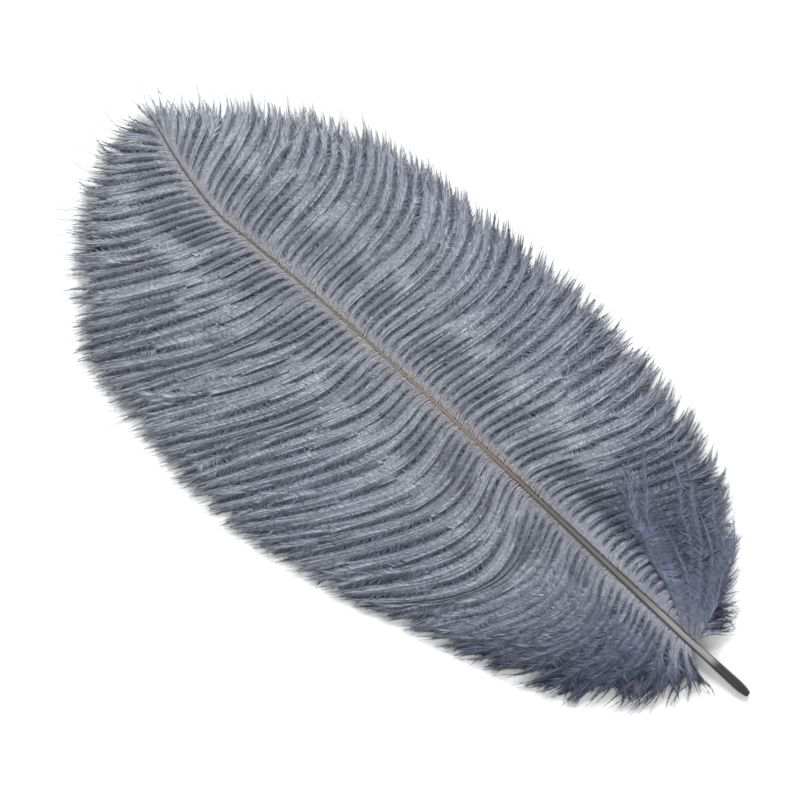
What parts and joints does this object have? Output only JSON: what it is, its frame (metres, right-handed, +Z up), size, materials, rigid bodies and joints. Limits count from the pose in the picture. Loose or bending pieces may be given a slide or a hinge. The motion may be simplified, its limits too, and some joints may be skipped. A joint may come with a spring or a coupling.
{
  "type": "ostrich feather",
  "caption": "Ostrich plume lying flat: a tapered horn shaft with a soft, full vane down each side and downy tufts at its foot.",
  "frame": {"origin": "on the table under the middle of the feather's box", "axes": "+Y along the shaft from the quill end to the thin end, +Z up out of the face-up side, +X to the right of the shaft seen from above with the thin end away"},
  "size_m": [0.1592, 0.321, 0.0144],
  "materials": {
    "horn": "horn: silver grey and smooth above the dark quill end, turning brown and then hair thin towards the tip",
    "barbs": "slate grey dyed barbs, matte and soft, gathered in fine light ridges with darker gaps",
    "down": "loose downy barbs, a little darker and bluer than the vane, with no sheen"
  },
  "bodies": {
    "root": {"shaft": "horn", "left_vane": "barbs", "right_vane": "barbs", "left_down_tuft": "down", "right_down_tuft": "down"}
  },
  "joints": []
}
